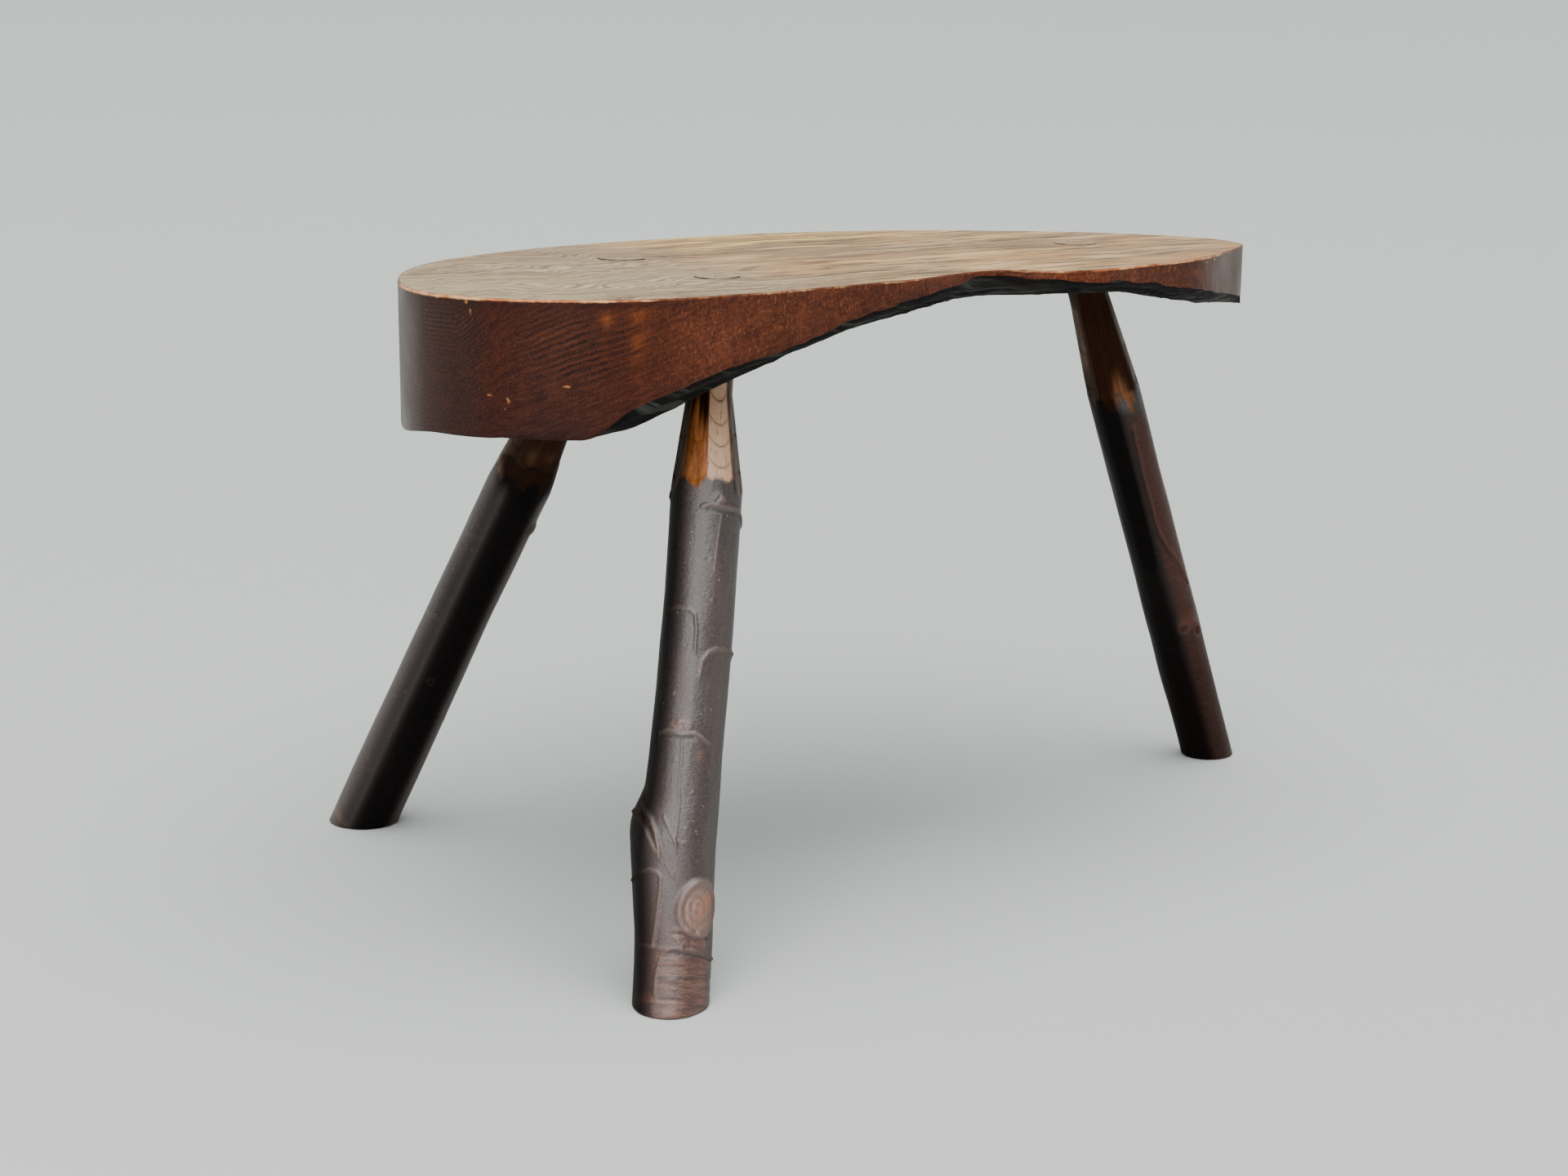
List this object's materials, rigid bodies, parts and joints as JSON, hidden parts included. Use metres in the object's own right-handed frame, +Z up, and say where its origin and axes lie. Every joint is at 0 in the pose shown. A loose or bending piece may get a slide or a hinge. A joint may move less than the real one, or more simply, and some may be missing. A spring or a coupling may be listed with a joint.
{
  "type": "three-legged slab table",
  "caption": "Low rustic table: a thick free-form waney slab on splayed whittled pole legs, through-tenoned and wedged.",
  "frame": {"origin": "on the floor, under the middle of the table's bounding box", "axes": "+X along the slab towards its thin end, +Y towards the back edge, +Z up; the thick end and two of the legs are at -X"},
  "size_m": [0.7948, 0.5016, 0.4508],
  "materials": {
    "slab_wood": "satin stain over figured wood, charred natural edge",
    "bark_pole": "glossy dark bark with whittled heads",
    "wedge_wood": "satin end grain"
  },
  "bodies": {
    "root": {"slab_top": "slab_wood", "front_leg": "bark_pole", "front_wedge": "wedge_wood", "back_left_leg": "bark_pole", "back_left_wedge": "wedge_wood", "right_leg": "bark_pole", "right_wedge": "wedge_wood"}
  },
  "joints": []
}
